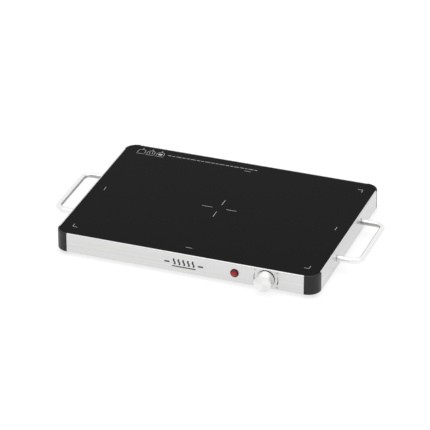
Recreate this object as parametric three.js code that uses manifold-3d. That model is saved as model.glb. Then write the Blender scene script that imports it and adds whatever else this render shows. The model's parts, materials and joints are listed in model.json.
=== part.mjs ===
// An electric warming tray (glass-topped hot plate) with two side handles, a thermostat knob and a
// pilot lamp on its front panel. Millimetres, +Z up, standing on z = 0, front towards -Y.
import * as THREE from 'three';
import { mergeVertices } from 'three/addons/utils/BufferGeometryUtils.js';
import Module from 'manifold-3d';

const wasm = await Module();
wasm.setup();

// ---------------------------------------------------------------- driving dimensions
const GAP = 0.3; // left between pieces that touch
const REACH = 100; // how far a cutting tool runs past what it cuts

const GLASS_W = 550;
const GLASS_D = 406.5;
const GLASS_T = 4;
const GLASS_SINK = 0.2; // the glass lies this far below the rim
const RIM = 3.2; // width of the rim round the glass
const RIM_ROUND = 2;
const BODY_H = 41.5;
const FOOT_H = 8;
const CORNER_R = 27.2;

const BODY_W = GLASS_W + 2 * RIM;
const BODY_D = GLASS_D + 2 * RIM;
const BOTTOM_Z = FOOT_H;
const TOP_Z = FOOT_H + BODY_H;
const MID_Z = FOOT_H + BODY_H / 2;
const CORNER_X = BODY_W / 2 - CORNER_R;
const CORNER_Y = BODY_D / 2 - CORNER_R;

const GLASS_TOP_Z = TOP_Z - GLASS_SINK;
const GLASS_BOTTOM_Z = GLASS_TOP_Z - GLASS_T;
const SEAL_T = 1;
const SEAL_W = 6;
const SEAL_INSET = 2;
const LEDGE_Z = GLASS_BOTTOM_Z - SEAL_T - 2 * GAP; // top of the ledge that carries the glass
const LEDGE_REACH = 12;

const SHEET = 1; // steel sheet of the rails
const FLANGE_REACH = 14; // bottom flange of a rail
const CAP_WALL = 2.6;
const CAP_LEDGE_T = 2;
const CAP_FLANGE_REACH = CORNER_R - 2;
const CAP_PAD_R = 11; // round pad of a corner cap, above its foot
const BOSS_R = 5;
const RIB_T = 2.5;
const TONGUE = { start: 3, reach: 12, low: 14, high: 38, thickness: 2 };

const PAN_T = 1;
const PAN_INSET = 3;
const PAN_Z = BOTTOM_Z + SHEET + GAP;
const PAN_TOP_Z = PAN_Z + PAN_T;
const VENT = { length: 36, width: 3.2, pitch: 11, count: 7, x: 110, y: 120 };

const FOOT = { r: 9, baseR: 8, tread: 0.8, shoulder: 1, shoulderW: 0.6 };
const FOOT_SCREW = { headR: 4, headZ: 1.5, headT: 2.2, shankR: 1.9, top: 25, chamfer: 0.8, tip: 1 };

const HANDLE = { tubeR: 6, gripX: 326, legY: 80, bend: 18, bendSteps: 8, sides: 16 };
const HANDLE_BORE = { r: 2.8, depth: 14 };
const HANDLE_SCREW = { shankR: 2.5, headR: 4.5, headT: 3, chamfer: 1, clearance: 1 };
const BACKPLATE = { length: 190, height: 18, thickness: 1.5 };

const HEATER_W = 490;
const HEATER_D = 340;
const HEATER_R = 10;
const SPREADER_T = 1.5;
const MICA_T = 0.5;
const RIBBON = { thickness: 0.6, width: 5, runs: 13, length: 440, depth: 300 };
const PAD_T = 6;
const TRAY_WALL = 0.8;
const TRAY_MARGIN = 5; // the spreader is this much wider than the tray on each side
const SUPPORT = { x: 200, length: 240, halfW: 12, foot: 8, thickness: 1 };

const KNOB = { x: 172.5, r: 17.9, front: 24.4, wall: 1.5, round: 1.2 };
const HUB = { r: 16.1, flangeR: 18.3, flangeT: 1, chamfer: 0.4, pocketR: 10, pocketTop: 6, lift: 0.8 };
const POINTER = { width: 1, length: 6, depth: 0.4, offAngle: 55 }; // turned left of the top when off
const THERMOSTAT = { w: 34, h: 26, depth: 25, round: 3, plateT: 1.5, ear: 4 };
const BUSH = { r: 4.75, reach: 4, holeR: 5.1 };
const NUT = { acrossFlats: 14, thickness: 3 };
const SHAFT = { r: 3, flat: 2.2, inside: 15, tip: 18.5, flatLength: 12 };
const SENSOR = { bulbR: 2.5, bulbLength: 70, tubeR: 0.9, inset: 25, lead: 8, lift: 4, bend: 4, overlap: 1 };

const LAMP = { x: 107, r: 8.75, round: 0.6, seatR: 7.3, flangeT: 1.6, dome: 3.8 };
const BARREL = { r: 6.5, boreR: 5, length: 12 };
const CLIP = { width: 3.5, thickness: 1 };
const LAMP_SOCKET = { depth: 6, shoulder: 4, neckR: 3 };
const NEON = { r: 3, top: -2 };

const INLET = { x: -180, w: 27, h: 20, depth: 22, round: 2, overlap: 1 };
const FLANGE = { w: 49, h: 24, thickness: 3, round: 4 };
const SOCKET = { w: 24, h: 16.4, depth: 18, round: 3 };
const PIN = { w: 2, h: 4, spacing: 7, earthLift: 3.6, mouth: 5, tail: 6 };
const INLET_SCREW = { spacing: 20, shankR: 1.5, headR: 2.7, headT: 1.4, bevel: 0.8, length: 12, tip: 1 };

const CABLE = { r: 1.3, sides: 8, bend: 5, bendSteps: 4, endGap: 1 };
const BLOCK = { x: -140, y: 130, w: 30, d: 14, h: 12, terminalZ: 5 };
const GROOVE = { x: 5, width: 1.2, depth: 3 };
const FUSE = { r: 2, wireR: 0.6, half: 5.5, lead: 14, taper: 0.5 };

// The knob reaches further forward than the inlet reaches back, so the body stands a little behind
// the middle of the footprint.
const FRONT_REACH = BODY_D / 2 + KNOB.front;
const REAR_REACH = BODY_D / 2 + GAP + FLANGE.thickness + GAP + INLET_SCREW.headT;
const BODY_Y = (FRONT_REACH - REAR_REACH) / 2;

// ---------------------------------------------------------------- materials
function finish(color, roughness, metalness) {
  return new THREE.MeshStandardMaterial({ color, roughness, metalness, flatShading: true });
}
const MATERIALS = {
  glass: finish(0x222221, 0.12, 0),
  steel: finish(0xd6d6d4, 0.32, 0.9),
  handleSteel: finish(0xe4e4e4, 0.25, 0.9),
  zinc: finish(0xb9bcc0, 0.4, 0.8),
  aluminium: finish(0xd9dadb, 0.3, 0.85),
  blackPlastic: finish(0x2b2b2c, 0.5, 0),
  rubber: finish(0x1c1c1c, 0.85, 0),
  silicone: finish(0x2a2a2a, 0.7, 0),
  mica: finish(0xb8a27a, 0.6, 0),
  nichrome: finish(0x8a8178, 0.4, 0.8),
  fibre: finish(0xe9e4d6, 0.95, 0),
  ceramic: finish(0xe6e0d2, 0.6, 0),
  brass: finish(0xc9a04e, 0.35, 0.9),
  redLens: finish(0xa8141c, 0.2, 0),
  lampGlass: finish(0xf0c8a0, 0.1, 0),
  cable: finish(0xb9b4a8, 0.6, 0),
  earthCable: finish(0x5a8f3a, 0.6, 0),
};

// ---------------------------------------------------------------- solids
// A closed three.js geometry as a solid. A lathe or an extrusion may come out inside out, depending
// on the direction of its outline, and is turned the right way round here.
function solid(geometry) {
  const bare = new THREE.BufferGeometry();
  bare.setAttribute('position', geometry.getAttribute('position').clone());
  bare.setIndex(geometry.index);
  const merged = mergeVertices(bare, 1e-4);
  const vertices = merged.getAttribute('position').array;
  const triangles = new Uint32Array(merged.index.array);
  const made = fromTriangles(vertices, triangles);
  if (made.volume() > 0) return made;
  for (let i = 0; i < triangles.length; i += 3) {
    [triangles[i + 1], triangles[i + 2]] = [triangles[i + 2], triangles[i + 1]];
  }
  return fromTriangles(vertices, triangles);
}

function fromTriangles(vertProperties, triVerts) {
  return new wasm.Manifold(new wasm.Mesh({ numProp: 3, vertProperties, triVerts }));
}

function geometryOf(piece) {
  const { vertProperties, triVerts } = piece.getMesh();
  const geometry = new THREE.BufferGeometry();
  geometry.setAttribute('position', new THREE.BufferAttribute(vertProperties, 3));
  geometry.setIndex(new THREE.BufferAttribute(triVerts, 1));
  geometry.computeVertexNormals();
  return geometry;
}

function join(...pieces) {
  return pieces.reduce((whole, piece) => whole.add(piece));
}

function cut(piece, ...tools) {
  return tools.reduce((left, tool) => left.subtract(tool), piece);
}

// A box between two corners.
function box(low, high) {
  const size = high.map((value, i) => value - low[i]);
  const geometry = new THREE.BoxGeometry(...size);
  geometry.translate(...low.map((value, i) => value + size[i] / 2));
  return solid(geometry);
}

// A cylinder along Z, between two heights.
function upright(r, low, high, sides = 16) {
  const geometry = new THREE.CylinderGeometry(r, r, high - low, sides);
  geometry.rotateX(Math.PI / 2);
  geometry.translate(0, 0, (low + high) / 2);
  return solid(geometry);
}

// A solid of revolution about Z, from [radius, height] points.
function turned(profile, sides = 24) {
  const points = profile.map(([r, z]) => new THREE.Vector2(r, z));
  const geometry = new THREE.LatheGeometry(points, sides);
  geometry.rotateX(Math.PI / 2);
  return solid(geometry);
}

// A solid of revolution about Z from a closed [radius, height] outline that doesn't meet the axis.
function ring(outline, sides = 24) {
  return turned([...outline, outline[0]], sides);
}

// Laid along -Y, so that a height becomes the distance out of the front panel.
function outwards(piece) {
  return piece.rotate([90, 0, 0]);
}

// A flat outline with square or rounded corners, as a shape in XY.
function roundedRect(w, h, r) {
  const shape = new THREE.Shape();
  const x = w / 2;
  const y = h / 2;
  shape.moveTo(-x + r, -y);
  shape.lineTo(x - r, -y);
  shape.absarc(x - r, -y + r, r, -Math.PI / 2, 0);
  shape.lineTo(x, y - r);
  shape.absarc(x - r, y - r, r, 0, Math.PI / 2);
  shape.lineTo(-x + r, y);
  shape.absarc(-x + r, y - r, r, Math.PI / 2, Math.PI);
  shape.lineTo(-x, -y + r);
  shape.absarc(-x + r, -y + r, r, Math.PI, 1.5 * Math.PI);
  return shape;
}

function plate(shape, low, high, curveSegments = 3) {
  const depth = high - low;
  const geometry = new THREE.ExtrudeGeometry(shape, { depth, bevelEnabled: false, curveSegments });
  geometry.translate(0, 0, low);
  return solid(geometry);
}

function polygon(points) {
  return new THREE.Shape(points.map(([x, y]) => new THREE.Vector2(x, y)));
}

function regularPolygon(r, sides) {
  const points = [];
  for (let i = 0; i < sides; i += 1) {
    const angle = (2 * Math.PI * i) / sides;
    points.push([r * Math.cos(angle), r * Math.sin(angle)]);
  }
  return polygon(points);
}

// Points of a quarter arc about [cx, cy], from one angle to another.
function arc(cx, cy, r, from, to, steps) {
  const points = [];
  for (let i = 0; i <= steps; i += 1) {
    const angle = from + ((to - from) * i) / steps;
    points.push([cx + r * Math.cos(angle), cy + r * Math.sin(angle)]);
  }
  return points;
}

// A path through points, with a step of the extrusion at each of them.
class Route extends THREE.Curve {
  constructor(points) {
    super();
    this.points = points;
    this.steps = points.length - 1;
  }

  getPointAt(u, target = new THREE.Vector3()) {
    const along = u * this.steps;
    const i = Math.min(Math.floor(along), this.steps - 1);
    return target.lerpVectors(this.points[i], this.points[i + 1], along - i);
  }

  // Halfway between the directions of the two stretches that meet at a point.
  getTangentAt(u, target = new THREE.Vector3()) {
    const i = Math.round(u * this.steps);
    const here = this.points[i];
    target.set(0, 0, 0);
    if (i > 0) target.add(here.clone().sub(this.points[i - 1]).normalize());
    if (i < this.steps) target.add(this.points[i + 1].clone().sub(here).normalize());
    return target.normalize();
  }
}

// A round bar or cable along a list of points.
function swept(points, r, sides) {
  const route = new Route(points);
  const section = regularPolygon(r, sides);
  const settings = { extrudePath: route, steps: route.steps, bevelEnabled: false };
  return solid(new THREE.ExtrudeGeometry(section, settings));
}

// A list of points with each corner between its ends eased into a curve.
function eased(corners, bend, steps) {
  const points = [corners[0]];
  for (let i = 1; i < corners.length - 1; i += 1) {
    const here = corners[i];
    const reach = (to) => here.clone().add(to.clone().sub(here).setLength(bend));
    const curve = new THREE.QuadraticBezierCurve3(reach(corners[i - 1]), here, reach(corners[i + 1]));
    points.push(...curve.getPoints(steps));
  }
  points.push(corners[corners.length - 1]);
  return points;
}

const body = new THREE.Group();
body.position.y = BODY_Y;
const group = new THREE.Group();
group.add(body);

// Adds a named piece to the assembly. Its place is a position and a turn about Z, in degrees.
function add(name, piece, material, [x, y, z] = [0, 0, 0], turn = 0) {
  const mesh = new THREE.Mesh(geometryOf(piece), MATERIALS[material].clone());
  mesh.name = name;
  mesh.position.set(x, y, z);
  mesh.rotation.z = THREE.MathUtils.degToRad(turn);
  body.add(mesh);
}

// ---------------------------------------------------------------- glass top and its seal
function glassTop() {
  const arris = 0.6;
  const shape = roundedRect(
    GLASS_W - 2 * (GAP + arris), GLASS_D - 2 * (GAP + arris), CORNER_R - RIM - GAP - arris,
  );
  const geometry = new THREE.ExtrudeGeometry(shape, {
    depth: GLASS_T - 2 * arris,
    bevelSize: arris,
    bevelThickness: arris,
    bevelSegments: 1,
    curveSegments: 4,
  });
  geometry.translate(0, 0, GLASS_BOTTOM_Z + arris);
  return solid(geometry);
}

function glassSeal() {
  const top = GLASS_BOTTOM_Z - GAP;
  const outline = (inset) => (
    roundedRect(GLASS_W - 2 * inset, GLASS_D - 2 * inset, CORNER_R - RIM - inset));
  const frame = outline(SEAL_INSET);
  frame.holes.push(outline(SEAL_INSET + SEAL_W));
  return plate(frame, top - SEAL_T, top);
}

// ---------------------------------------------------------------- rails and corner caps
// The section shared by the rails and the caps: [distance in from the outer face, height].
// It runs up the outer face, over the rounded rim, down to the ledge and back along the inside.
function wallSection(wall, ledgeT, flangeReach) {
  const lip = 0.4;
  return [
    ...arc(SHEET, BOTTOM_Z + SHEET, SHEET, 1.5 * Math.PI, Math.PI, 2),
    ...arc(RIM_ROUND, TOP_Z - RIM_ROUND, RIM_ROUND, Math.PI, Math.PI / 2, 4),
    ...arc(RIM - lip, TOP_Z - lip, lip, Math.PI / 2, 0, 1),
    [RIM, LEDGE_Z],
    [LEDGE_REACH, LEDGE_Z],
    [LEDGE_REACH, LEDGE_Z - ledgeT],
    [wall, LEDGE_Z - ledgeT],
    [wall, BOTTOM_Z + SHEET],
    [flangeReach, BOTTOM_Z + SHEET],
    [flangeReach, BOTTOM_Z],
  ];
}

// A rail along X, with its outer face in the plane y = 0 and its inside towards +Y.
function rail(length) {
  const geometry = new THREE.ExtrudeGeometry(
    polygon(wallSection(SHEET, SHEET, FLANGE_REACH)), { depth: length, bevelEnabled: false },
  );
  const along = new THREE.Matrix4().makeBasis(
    new THREE.Vector3(0, 1, 0), new THREE.Vector3(0, 0, 1), new THREE.Vector3(1, 0, 0),
  );
  geometry.applyMatrix4(along);
  geometry.translate(-length / 2, 0, 0);
  return solid(geometry);
}

// A round hole through a rail's outer face, at x along it.
function panelHole(x, r, sides = 16) {
  return outwards(upright(r, -2 * SHEET, SHEET, sides)).translate([x, 0, MID_Z]);
}

const FRONT_RAIL_LENGTH = 2 * (CORNER_X - GAP);
const SIDE_RAIL_LENGTH = 2 * (CORNER_Y - GAP);

function frontRail() {
  const lampHole = panelHole(LAMP.x, BARREL.r + GAP);
  const bushHole = panelHole(KNOB.x, BUSH.holeR);
  return cut(rail(FRONT_RAIL_LENGTH), lampHole, bushHole);
}

// The rear rail is turned round, so what is at x on the assembly is at -x along it.
function rearRail() {
  const halfW = INLET.w / 2 + GAP;
  const halfH = INLET.h / 2 + GAP;
  const opening = box(
    [-INLET.x - halfW, -SHEET, MID_Z - halfH], [-INLET.x + halfW, 2 * SHEET, MID_Z + halfH],
  );
  const holes = [-1, 1].map((side) => (
    panelHole(-INLET.x + side * INLET_SCREW.spacing, INLET_SCREW.shankR + GAP, 12)));
  return cut(rail(FRONT_RAIL_LENGTH), opening, ...holes);
}

function sideRail() {
  const holes = [-1, 1].map((side) => panelHole(side * HANDLE.legY, HANDLE_BORE.r));
  return cut(rail(SIDE_RAIL_LENGTH), ...holes);
}

// The cap of the front left corner, about the corner's own centre.
function cornerCap() {
  const section = wallSection(CAP_WALL, CAP_LEDGE_T, CAP_FLANGE_REACH);
  const outline = section.map(([inset, z]) => [CORNER_R - inset, z]);
  const quadrant = box([-REACH, -REACH, -REACH], [0, 0, REACH]);
  const shell = ring(outline, 28).intersect(quadrant);
  const pad = upright(CAP_PAD_R, BOTTOM_Z, BOTTOM_Z + SHEET);
  const bossLow = PAN_TOP_Z + GAP;
  const ledgeLow = LEDGE_Z - CAP_LEDGE_T;
  const boss = upright(BOSS_R, bossLow, ledgeLow, 12);
  const overlap = 1; // the rib runs this far into the wall and the ledge
  const ribEnd = CORNER_R - CAP_WALL + overlap;
  const rib = box([-ribEnd, -RIB_T / 2, bossLow], [0, RIB_T / 2, ledgeLow + overlap]);
  const low = SHEET + GAP;
  const alongX = box(
    [-TONGUE.start, -CORNER_R + low, TONGUE.low],
    [TONGUE.reach, -CORNER_R + low + TONGUE.thickness, TONGUE.high],
  );
  const alongY = box(
    [-CORNER_R + low, -TONGUE.start, TONGUE.low],
    [-CORNER_R + low + TONGUE.thickness, TONGUE.reach, TONGUE.high],
  );
  const bore = upright(FOOT_SCREW.shankR + GAP, -REACH, FOOT_SCREW.top + GAP, 12);
  return cut(join(shell, pad, boss, rib.rotate([0, 0, 45]), alongX, alongY), bore);
}

// ---------------------------------------------------------------- base, feet and their screws
function basePan() {
  const w = BODY_W - 2 * PAN_INSET;
  const d = BODY_D - 2 * PAN_INSET;
  let pan = plate(roundedRect(w, d, CORNER_R - PAN_INSET), PAN_Z, PAN_TOP_Z);
  for (const x of [-CORNER_X, CORNER_X]) {
    for (const y of [-CORNER_Y, CORNER_Y]) {
      pan = cut(pan, upright(FOOT_SCREW.shankR + 2 * GAP, 0, REACH, 12).translate([x, y, 0]));
    }
  }
  const slot = plate(roundedRect(VENT.width, VENT.length, VENT.width / 2 - 0.01), 0, REACH, 1);
  for (const x of [-VENT.x, VENT.x]) {
    for (let i = 0; i < VENT.count; i += 1) {
      const offset = (i - (VENT.count - 1) / 2) * VENT.pitch;
      pan = cut(pan, slot.translate([x + offset, VENT.y, 0]), slot.translate([x + offset, -VENT.y, 0]));
    }
  }
  return pan;
}

function foot() {
  const top = FOOT_H - GAP;
  const recess = FOOT_SCREW.headZ + FOOT_SCREW.headT + GAP;
  const recessR = FOOT_SCREW.headR + GAP;
  const boreR = FOOT_SCREW.shankR + GAP;
  const { r, baseR, tread, shoulder, shoulderW } = FOOT;
  return ring([
    [recessR, 0], [baseR - tread, 0], [baseR, tread], [r, top - shoulder], [r - shoulderW, top],
    [boreR, top], [boreR, recess], [recessR, recess],
  ], 16);
}

function footScrew() {
  const head = FOOT_SCREW.headZ;
  const neck = head + FOOT_SCREW.headT;
  const { headR, shankR, top, chamfer, tip } = FOOT_SCREW;
  return turned([
    [0, head], [headR - chamfer, head], [headR, head + chamfer], [headR, neck], [shankR, neck],
    [shankR, top - tip], [shankR / 2, top], [0, top],
  ], 12);
}

// ---------------------------------------------------------------- handles
// A bar out of the right panel, round a bend, along and back, with a threaded bore up each leg.
function handle() {
  const { tubeR, gripX, legY, bend, bendSteps, sides } = HANDLE;
  const rootX = BODY_W / 2 + GAP;
  const centreX = gripX - bend;
  const centreY = legY - bend;
  const line = [
    [rootX, -legY],
    ...arc(centreX, -centreY, bend, -Math.PI / 2, 0, bendSteps),
    ...arc(centreX, centreY, bend, 0, Math.PI / 2, bendSteps),
    [rootX, legY],
  ];
  const bar = swept(line.map(([x, y]) => new THREE.Vector3(x, y, MID_Z)), tubeR, sides);
  const bores = [-1, 1].map((side) => (
    upright(HANDLE_BORE.r, -GAP, HANDLE_BORE.depth, 12)
      .rotate([0, 90, 0])
      .translate([rootX, side * legY, MID_Z])));
  return cut(bar, ...bores);
}

// Heads inside the body, shanks outwards along +X; x = 0 is the panel's outer face.
function handleScrew() {
  const neck = -(SHEET + GAP + BACKPLATE.thickness + GAP);
  const { headR, headT, shankR, chamfer, clearance } = HANDLE_SCREW;
  const head = neck - headT;
  const tip = HANDLE_BORE.depth - clearance;
  return turned([
    [0, head], [headR - chamfer, head], [headR, head + chamfer], [headR, neck],
    [shankR, neck], [shankR, tip - chamfer], [shankR - chamfer, tip], [0, tip],
  ], 12).rotate([0, 90, 0]);
}

function backplate() {
  const inner = -(SHEET + GAP);
  const bar = box(
    [inner - BACKPLATE.thickness, -BACKPLATE.length / 2, MID_Z - BACKPLATE.height / 2],
    [inner, BACKPLATE.length / 2, MID_Z + BACKPLATE.height / 2],
  );
  const holes = [-1, 1].map((side) => (
    upright(HANDLE_BORE.r, -REACH / 2, REACH / 2, 12)
      .rotate([0, 90, 0])
      .translate([0, side * HANDLE.legY, MID_Z])));
  return cut(bar, ...holes);
}

// ---------------------------------------------------------------- heater stack, from the top down
const SPREADER_TOP = GLASS_BOTTOM_Z - GAP;
const SPREADER_LOW = SPREADER_TOP - SPREADER_T;
const MICA_LOW = SPREADER_LOW - GAP - MICA_T;
const RIBBON_LOW = MICA_LOW - GAP - RIBBON.thickness;
const PAD_TOP = RIBBON_LOW - GAP;
const TRAY_FLOOR = PAD_TOP - PAD_T - GAP;
const TRAY_LOW = TRAY_FLOOR - TRAY_WALL;
const TRAY_W = HEATER_W - 2 * TRAY_MARGIN;
const TRAY_D = HEATER_D - 2 * TRAY_MARGIN;
const TRAY_INNER = TRAY_WALL + GAP;

function stackPlate(inset, low, high) {
  const w = TRAY_W - 2 * inset;
  return plate(roundedRect(w, TRAY_D - 2 * inset, HEATER_R - inset), low, high, 4);
}

function heatSpreader() {
  return plate(roundedRect(HEATER_W, HEATER_D, HEATER_R), SPREADER_LOW, SPREADER_TOP, 4);
}

// Where the two ends of the heating ribbon are, and the cables come up to them.
const RIBBON_END_X = (RIBBON.length - RIBBON.width) / 2;
const RIBBON_END_Y = (RIBBON.depth - RIBBON.width) / 2;

function cableHoles() {
  return [-1, 1].map((side) => (
    upright(CABLE.r + GAP, 0, REACH, 12).translate([side * RIBBON_END_X, side * RIBBON_END_Y, 0])));
}

function insulationPad() {
  return cut(stackPlate(TRAY_INNER, PAD_TOP - PAD_T, PAD_TOP), ...cableHoles());
}

function reflectorTray() {
  const outer = stackPlate(0, TRAY_LOW, SPREADER_LOW - GAP);
  return cut(outer, stackPlate(TRAY_WALL, TRAY_FLOOR, REACH), ...cableHoles());
}

// One flat strip that runs to and fro under the mica: straight runs joined by square turns.
function heatingRibbon() {
  const { width, runs, length, depth, thickness } = RIBBON;
  const pitch = (depth - width) / (runs - 1);
  const low = RIBBON_LOW;
  const high = RIBBON_LOW + thickness;
  const strips = [];
  for (let i = 0; i < runs; i += 1) {
    const y = -depth / 2 + i * pitch;
    strips.push(box([-length / 2, y, low], [length / 2, y + width, high]));
    if (i === runs - 1) break;
    const end = i % 2 ? -length / 2 : length / 2 - width;
    strips.push(box([end, y, low], [end + width, y + pitch + width, high]));
  }
  return join(...strips);
}

// A hat-section bracket that runs front to back between the base pan and the tray.
function traySupport() {
  const low = PAN_TOP_Z + GAP;
  const high = TRAY_LOW - GAP;
  const { length, halfW, foot: footW, thickness: t } = SUPPORT;
  const edge = halfW + footW;
  const section = polygon([
    [-edge, low], [-halfW + t, low], [-halfW + t, high - t], [halfW - t, high - t], [halfW - t, low],
    [edge, low], [edge, low + t], [halfW, low + t], [halfW, high], [-halfW, high], [-halfW, low + t],
    [-edge, low + t],
  ]);
  const geometry = new THREE.ExtrudeGeometry(section, { depth: length, bevelEnabled: false });
  geometry.rotateX(Math.PI / 2);
  geometry.translate(0, length / 2, 0);
  return solid(geometry);
}

// ---------------------------------------------------------------- thermostat and knob
// Each is built about its own axis, with its height the distance out of the front panel.
const BLOCK_REACH = 2 * SHAFT.r; // half the width of the block that cuts a flat

// Where the cables and the capillary start behind the thermostat.
const THERMOSTAT_REAR_Y = -BODY_D / 2 + SHEET + GAP + THERMOSTAT.plateT + THERMOSTAT.depth + CABLE.endGap;

function thermostatBody() {
  const { w, h, depth, round, plateT, ear } = THERMOSTAT;
  const front = -SHEET - GAP;
  const flange = box([-w / 2 - ear, -h / 2, front - plateT], [w / 2 + ear, h / 2, front]);
  const block = plate(roundedRect(w, h, round), front - plateT - depth, front - plateT);
  const bush = upright(BUSH.r, front - plateT, BUSH.reach);
  const bore = upright(SHAFT.r + GAP, -SHAFT.inside - GAP, REACH);
  return outwards(cut(join(flange, block, bush), bore));
}

function thermostatNut() {
  const r = NUT.acrossFlats / 2 / Math.cos(Math.PI / 6);
  const hex = plate(regularPolygon(r, 6), GAP, GAP + NUT.thickness);
  return outwards(cut(hex, upright(BUSH.r + GAP, 0, REACH)));
}

function flatted(r, low, high, flat, flatLow) {
  const block = box([-BLOCK_REACH, flat, flatLow], [BLOCK_REACH, BLOCK_REACH, REACH]);
  return cut(upright(r, low, high), block);
}

function thermostatShaft() {
  return outwards(flatted(SHAFT.r, -SHAFT.inside, SHAFT.tip, SHAFT.flat, SHAFT.tip - SHAFT.flatLength));
}

function knobHub() {
  const { r, flangeR, flangeT, chamfer, pocketR, pocketTop, lift } = HUB;
  const top = KNOB.front - 2 * GAP - KNOB.wall;
  const hub = turned([
    [0, lift], [flangeR - chamfer, lift], [flangeR, lift + chamfer], [flangeR, lift + flangeT],
    [r, lift + flangeT], [r, top], [0, top],
  ]);
  const pocket = upright(pocketR, 0, pocketTop);
  const flatLow = SHAFT.tip - SHAFT.flatLength + GAP;
  const bore = flatted(SHAFT.r + GAP, 0, SHAFT.tip + GAP, SHAFT.flat + GAP, flatLow);
  return outwards(cut(hub, pocket, bore));
}

// A turned metal shell over the hub, with an engraved pointer line at the rim of its face.
function knobCap() {
  const low = HUB.lift + HUB.flangeT + GAP;
  const { r, front, wall, round } = KNOB;
  const shell = turned([
    [r - wall, low], [r, low], ...arc(r - round, front - round, round, 0, Math.PI / 2, 4), [0, front],
    [0, front - wall], [r - wall, front - wall], [r - wall, low],
  ], 32);
  const { width, length, depth, offAngle } = POINTER;
  const pointer = box([-width / 2, r - length, front - depth], [width / 2, REACH, REACH]);
  return outwards(cut(shell, pointer.rotate([0, 0, offAngle])));
}

// A bulb that lies under the tray, with a short capillary to the back of the thermostat.
function thermostatSensor() {
  const { bulbR, bulbLength, tubeR, inset, lead, lift, bend, overlap } = SENSOR;
  const z = TRAY_LOW - GAP - bulbR;
  const bulbY = -HEATER_D / 2 + inset;
  const line = [
    new THREE.Vector3(KNOB.x, THERMOSTAT_REAR_Y, MID_Z + lift),
    new THREE.Vector3(KNOB.x, THERMOSTAT_REAR_Y + lead, MID_Z + lift),
    new THREE.Vector3(KNOB.x, bulbY - lead, z),
    new THREE.Vector3(KNOB.x, bulbY + overlap, z),
  ];
  const capillary = swept(eased(line, bend, 3), tubeR, 6);
  const bulb = upright(bulbR, 0, bulbLength, 12)
    .rotate([-90, 0, 0])
    .translate([KNOB.x, bulbY, z]);
  return join(capillary, bulb);
}

// ---------------------------------------------------------------- pilot lamp
function lampLens() {
  const { r, round, seatR, flangeT, dome } = LAMP;
  const base = GAP + flangeT;
  const sphereR = (seatR * seatR + dome * dome) / (2 * dome);
  const edge = Math.asin(seatR / sphereR);
  const cap = arc(0, base + dome - sphereR, sphereR, Math.PI / 2 - edge, Math.PI / 2, 5);
  return outwards(turned([
    [0, 0], [BARREL.boreR, 0], [BARREL.boreR, -BARREL.length], [BARREL.r, -BARREL.length],
    [BARREL.r, GAP], [r, GAP], [r, base - round], [r - round, base], ...cap.slice(0, -1), [0, base + dome],
  ]));
}

function lampClip() {
  const high = -SHEET - GAP;
  const low = high - CLIP.thickness;
  const inner = BARREL.r + GAP;
  const outer = inner + CLIP.width;
  return outwards(ring([[inner, low], [outer, low], [outer, high], [inner, high]]));
}

function lampSocket() {
  const { depth, shoulder, neckR } = LAMP_SOCKET;
  const high = -BARREL.length - GAP;
  const low = high - depth;
  const shoulderLow = high - shoulder;
  return outwards(turned([
    [0, low], [neckR, low], [neckR, shoulderLow], [BARREL.r, shoulderLow], [BARREL.r, high], [0, high],
  ]));
}

function neonLamp() {
  const { r, top } = NEON;
  const low = -BARREL.length;
  const tip = arc(0, top - r, r, 0, Math.PI / 2, 4).slice(0, -1);
  return outwards(turned([[0, low], [r, low], ...tip, [0, top]], 16));
}

// ---------------------------------------------------------------- mains inlet
// Each is built with its height the distance out of the rear panel; x and y lie in the panel.
const MOUTH = GAP + FLANGE.thickness; // the height of the flange's face

function inletHousing() {
  const flange = plate(roundedRect(FLANGE.w, FLANGE.h, FLANGE.round), GAP, MOUTH, 4);
  const block = plate(roundedRect(INLET.w, INLET.h, INLET.round), -INLET.depth, GAP + INLET.overlap);
  const socket = plate(roundedRect(SOCKET.w, SOCKET.h, SOCKET.round), MOUTH - SOCKET.depth, REACH);
  const slots = PIN_PLACES.map(([, x, y]) => box(
    [x - PIN.w / 2 - GAP, y - PIN.h / 2 - GAP, -REACH], [x + PIN.w / 2 + GAP, y + PIN.h / 2 + GAP, 0],
  ));
  const holes = [-1, 1].map((side) => (
    upright(INLET_SCREW.shankR + GAP, 0, REACH, 12).translate([side * INLET_SCREW.spacing, 0, 0])));
  return cut(join(flange, block), socket, ...slots, ...holes);
}

const PIN_PLACES = [
  ['inlet_pin_live', -PIN.spacing, -PIN.earthLift / 2],
  ['inlet_pin_neutral', PIN.spacing, -PIN.earthLift / 2],
  ['inlet_pin_earth', 0, PIN.earthLift],
];

function inletPin() {
  const { w, h, mouth, tail } = PIN;
  return box([-w / 2, -h / 2, -INLET.depth - tail], [w / 2, h / 2, MOUTH - mouth]);
}

function inletScrew() {
  const { shankR, headR, headT, bevel, length, tip } = INLET_SCREW;
  const neck = MOUTH + GAP;
  const end = neck - length;
  const top = neck + headT;
  return turned([
    [0, end], [shankR, end + tip], [shankR, neck], [headR, neck],
    [headR, neck + headT / 2], [headR - bevel, top], [0, top],
  ], 16);
}

// ---------------------------------------------------------------- wiring
function terminalBlock() {
  const low = PAN_TOP_Z + GAP;
  const high = low + BLOCK.h;
  const block = box([-BLOCK.w / 2, -BLOCK.d / 2, low], [BLOCK.w / 2, BLOCK.d / 2, high]);
  const grooves = [-GROOVE.x, GROOVE.x].map((x) => box(
    [x - GROOVE.width / 2, -REACH, high - GROOVE.depth], [x + GROOVE.width / 2, REACH, REACH],
  ));
  return cut(block, ...grooves);
}

function thermalFuse() {
  const { r, wireR, half, lead, taper } = FUSE;
  return turned([
    [0, -lead], [wireR, -lead], [wireR, -half - taper], [r, -half], [r, half], [wireR, half + taper],
    [wireR, lead], [0, lead],
  ], 12).rotate([0, 90, 0]);
}

function cable(points) {
  const corners = points.map((point) => new THREE.Vector3(...point));
  return swept(eased(corners, CABLE.bend, CABLE.bendSteps), CABLE.r, CABLE.sides);
}

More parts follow.
